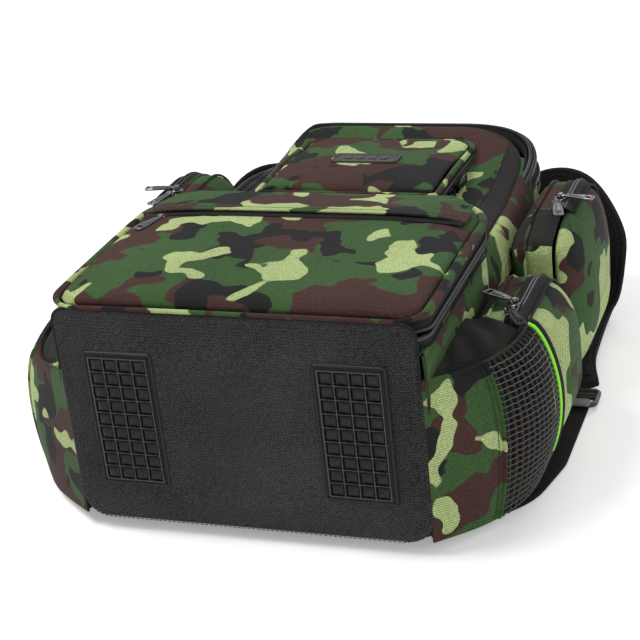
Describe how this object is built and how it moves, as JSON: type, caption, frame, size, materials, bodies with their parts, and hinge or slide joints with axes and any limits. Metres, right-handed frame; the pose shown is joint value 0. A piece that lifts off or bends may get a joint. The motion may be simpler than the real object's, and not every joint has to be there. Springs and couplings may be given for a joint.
{
  "type": "padded gear backpack",
  "caption": "Padded camouflage gear backpack lying on its back, with zipped front, side and slip pockets, ribbed rubber base feet, grab handle and shoulder straps.",
  "frame": {"origin": "middle of the footprint, on the surface that the bag lies on", "axes": "+Z out of the bag's front, +Y from the base with its feet to the top with the grab handle, +X to the right as the base faces the viewer"},
  "size_m": [0.472, 0.553, 0.2188],
  "materials": {
    "black_cloth": "coarse woven polyester",
    "base_cloth": "coarse twill, slightly glossy",
    "camo_cloth": "woven polyester with a four-colour camouflage print",
    "lining": "smooth lining",
    "foot_rubber": "moulded, satin",
    "pocket_net": "open net over printed cloth",
    "bright_piping": "smooth, bright",
    "strap_cloth": "padded, woven",
    "buckle_plastic": "moulded",
    "webbing": "ribbed webbing",
    "back_mesh": "air mesh",
    "badge_rubber": "soft moulded",
    "zip_metal": "dark, glossy"
  },
  "bodies": {
    "bag": {"back_panel": "black_cloth", "base_panel": "base_cloth", "gusset_left": "black_cloth", "gusset_right": "black_cloth", "gusset_top": "black_cloth", "front_wall": "camo_cloth", "inner_divider": "lining", "foot_left": "foot_rubber", "foot_right": "foot_rubber", "back_pads": "back_mesh", "lower_pocket_walls": "camo_cloth", "side_pocket_near_left": "black_cloth", "side_pocket_near_right": "black_cloth", "side_pocket_far_left": "black_cloth", "side_pocket_far_right": "black_cloth", "slip_panel_left": "pocket_net", "slip_panel_right": "pocket_net", "slip_rim_left": "bright_piping", "slip_rim_right": "bright_piping", "strap_yoke": "black_cloth", "strap_webbing_left": "webbing", "strap_webbing_right": "webbing", "side_sliders": "zip_metal"},
    "main_lid": {"main_lid": "camo_cloth", "upper_pocket_walls": "black_cloth"},
    "upper_lid": {"upper_pocket_lid": "camo_cloth", "label_badge": "badge_rubber"},
    "lower_lid": {"lower_pocket_lid": "camo_cloth"},
    "storm_flap": {"storm_flap": "camo_cloth"},
    "grab_handle": {"grab_handle": "webbing"},
    "side_lid_near_left": {"side_lid_near_left": "camo_cloth"},
    "side_lid_far_left": {"side_lid_far_left": "camo_cloth"},
    "shoulder_strap_left": {"shoulder_strap_left": "strap_cloth"},
    "ladder_lock_left": {"ladder_lock_left": "buckle_plastic"},
    "side_lid_near_right": {"side_lid_near_right": "camo_cloth"},
    "side_lid_far_right": {"side_lid_far_right": "camo_cloth"},
    "shoulder_strap_right": {"shoulder_strap_right": "strap_cloth"},
    "ladder_lock_right": {"ladder_lock_right": "buckle_plastic"},
    "main_slider_left": {"main_slider_left": "zip_metal"},
    "main_pull_left": {"main_pull_left": "zip_metal"},
    "main_slider_right": {"main_slider_right": "zip_metal"},
    "main_pull_right": {"main_pull_right": "zip_metal"},
    "upper_slider_low": {"upper_slider_low": "zip_metal"},
    "upper_pull_low": {"upper_pull_low": "zip_metal"},
    "upper_slider_high": {"upper_slider_high": "zip_metal"},
    "upper_pull_high": {"upper_pull_high": "zip_metal"},
    "lower_slider": {"lower_slider": "zip_metal"},
    "lower_pull": {"lower_pull": "zip_metal"},
    "slit_slider": {"slit_slider": "zip_metal"},
    "slit_pull": {"slit_pull": "zip_metal"},
    "near_pull_low_left": {"near_pull_low_left": "zip_metal"},
    "near_pull_high_left": {"near_pull_high_left": "zip_metal"},
    "far_pull_low_left": {"far_pull_low_left": "zip_metal"},
    "far_pull_high_left": {"far_pull_high_left": "zip_metal"},
    "near_pull_low_right": {"near_pull_low_right": "zip_metal"},
    "near_pull_high_right": {"near_pull_high_right": "zip_metal"},
    "far_pull_low_right": {"far_pull_low_right": "zip_metal"},
    "far_pull_high_right": {"far_pull_high_right": "zip_metal"}
  },
  "joints": [
    {"name": "main_lid_open", "type": "hinge", "parent": "bag", "child": "main_lid", "pos_m": [0, -0.0002, 0.151], "axis": [1, 0, 0], "range_deg": [0, 50]},
    {"name": "upper_pocket_open", "type": "hinge", "parent": "main_lid", "child": "upper_lid", "pos_m": [0, 0.0315, 0.18775], "axis": [1, 0, 0], "range_deg": [0, 60]},
    {"name": "lower_pocket_open", "type": "hinge", "parent": "bag", "child": "lower_lid", "pos_m": [0, -0.2622, 0.209], "axis": [1, 0, 0], "range_deg": [0, 100]},
    {"name": "storm_flap_lift", "type": "hinge", "parent": "lower_lid", "child": "storm_flap", "pos_m": [0, -0.0225, 0.212], "axis": [-1, 0, 0], "range_deg": [0, 80]},
    {"name": "grab_handle_lift", "type": "hinge", "parent": "bag", "child": "grab_handle", "pos_m": [0, 0.2365, 0.0175], "axis": [1, 0, 0], "range_deg": [0, 80]},
    {"name": "side_pocket_near_left_open", "type": "hinge", "parent": "bag", "child": "side_lid_near_left", "pos_m": [-0.1995, 0, 0.018], "axis": [0, -1, 0], "range_deg": [0, 25]},
    {"name": "side_pocket_far_left_open", "type": "hinge", "parent": "bag", "child": "side_lid_far_left", "pos_m": [-0.1995, 0, 0.018], "axis": [0, -1, 0], "range_deg": [0, 25]},
    {"name": "shoulder_strap_left_swing", "type": "hinge", "parent": "bag", "child": "shoulder_strap_left", "pos_m": [-0.07, 0.2115, 0.006], "axis": [0, 0, -1], "range_deg": [0, 8]},
    {"name": "ladder_lock_left_tilt", "type": "hinge", "parent": "shoulder_strap_left", "child": "ladder_lock_left", "pos_m": [-0.216, 0.0235, 0.0055], "axis": [-1, 0, 0], "range_deg": [0, 15]},
    {"name": "side_pocket_near_right_open", "type": "hinge", "parent": "bag", "child": "side_lid_near_right", "pos_m": [0.1995, 0, 0.018], "axis": [0, 1, 0], "range_deg": [0, 25]},
    {"name": "side_pocket_far_right_open", "type": "hinge", "parent": "bag", "child": "side_lid_far_right", "pos_m": [0.1995, 0, 0.018], "axis": [0, 1, 0], "range_deg": [0, 25]},
    {"name": "shoulder_strap_right_swing", "type": "hinge", "parent": "bag", "child": "shoulder_strap_right", "pos_m": [0.07, 0.2115, 0.006], "axis": [0, 0, 1], "range_deg": [0, 8]},
    {"name": "ladder_lock_right_tilt", "type": "hinge", "parent": "shoulder_strap_right", "child": "ladder_lock_right", "pos_m": [0.216, 0.0235, 0.0055], "axis": [-1, 0, 0], "range_deg": [0, 15]},
    {"name": "main_zip_left_run", "type": "slide", "parent": "bag", "child": "main_slider_left", "axis": [-1, 0, 0], "range_m": [0, 0.035]},
    {"name": "main_pull_left_flip", "type": "hinge", "parent": "main_slider_left", "child": "main_pull_left", "pos_m": [-0.011, 0.23775, 0.141], "axis": [0, 0, -1], "range_deg": [0, 95]},
    {"name": "main_zip_right_run", "type": "slide", "parent": "bag", "child": "main_slider_right", "axis": [1, 0, 0], "range_m": [0, 0.035]},
    {"name": "main_pull_right_flip", "type": "hinge", "parent": "main_slider_right", "child": "main_pull_right", "pos_m": [0.011, 0.23775, 0.141], "axis": [0, 0, 1], "range_deg": [0, 95]},
    {"name": "upper_zip_low_run", "type": "slide", "parent": "main_lid", "child": "upper_slider_low", "axis": [0, -1, 0], "range_m": [0, 0.028]},
    {"name": "upper_pull_low_flip", "type": "hinge", "parent": "upper_slider_low", "child": "upper_pull_low", "pos_m": [0.09425, 0.0695, 0.1785], "axis": [0, 0, 1], "range_deg": [0, 95]},
    {"name": "upper_zip_high_run", "type": "slide", "parent": "main_lid", "child": "upper_slider_high", "axis": [0, 1, 0], "range_m": [0, 0.07]},
    {"name": "upper_pull_high_flip", "type": "hinge", "parent": "upper_slider_high", "child": "upper_pull_high", "pos_m": [0.09425, 0.0855, 0.1785], "axis": [0, 0, -1], "range_deg": [0, 95]},
    {"name": "lower_zip_run", "type": "slide", "parent": "bag", "child": "lower_slider", "axis": [0, -1, 0], "range_m": [0, 0.08]},
    {"name": "lower_pull_flip", "type": "hinge", "parent": "lower_slider", "child": "lower_pull", "pos_m": [-0.16425, -0.1425, 0.192], "axis": [0, 0, -1], "range_deg": [0, 95]},
    {"name": "slit_zip_run", "type": "slide", "parent": "lower_lid", "child": "slit_slider", "axis": [1, 0, 0], "range_m": [0, 0.2]},
    {"name": "slit_pull_flip", "type": "hinge", "parent": "slit_slider", "child": "slit_pull", "pos_m": [-0.127, -0.0955, 0.21675], "axis": [-0.9397, 0.342, 0], "range_deg": [0, 120]},
    {"name": "near_pull_low_left_flip", "type": "hinge", "parent": "bag", "child": "near_pull_low_left", "pos_m": [-0.1925, -0.1315, 0.15925], "axis": [-0.866, 0.5, 0], "range_deg": [0, 95]},
    {"name": "near_pull_high_left_flip", "type": "hinge", "parent": "bag", "child": "near_pull_high_left", "pos_m": [-0.1925, -0.1155, 0.15925], "axis": [0.5, -0.866, 0], "range_deg": [0, 95]},
    {"name": "far_pull_low_left_flip", "type": "hinge", "parent": "bag", "child": "far_pull_low_left", "pos_m": [-0.1925, 0.0635, 0.17625], "axis": [-0.9659, 0.2588, 0], "range_deg": [0, 95]},
    {"name": "far_pull_high_left_flip", "type": "hinge", "parent": "bag", "child": "far_pull_high_left", "pos_m": [-0.1925, 0.0795, 0.17625], "axis": [-0.1736, 0.9848, 0], "range_deg": [0, 95]},
    {"name": "near_pull_low_right_flip", "type": "hinge", "parent": "bag", "child": "near_pull_low_right", "pos_m": [0.1925, -0.1315, 0.15925], "axis": [-0.866, -0.5, 0], "range_deg": [0, 95]},
    {"name": "near_pull_high_right_flip", "type": "hinge", "parent": "bag", "child": "near_pull_high_right", "pos_m": [0.1925, -0.1155, 0.15925], "axis": [0.5, 0.866, 0], "range_deg": [0, 95]},
    {"name": "far_pull_low_right_flip", "type": "hinge", "parent": "bag", "child": "far_pull_low_right", "pos_m": [0.1925, 0.0635, 0.17625], "axis": [-0.9659, -0.2588, 0], "range_deg": [0, 95]},
    {"name": "far_pull_high_right_flip", "type": "hinge", "parent": "bag", "child": "far_pull_high_right", "pos_m": [0.1925, 0.0795, 0.17625], "axis": [-0.1736, -0.9848, 0], "range_deg": [0, 95]}
  ]
}
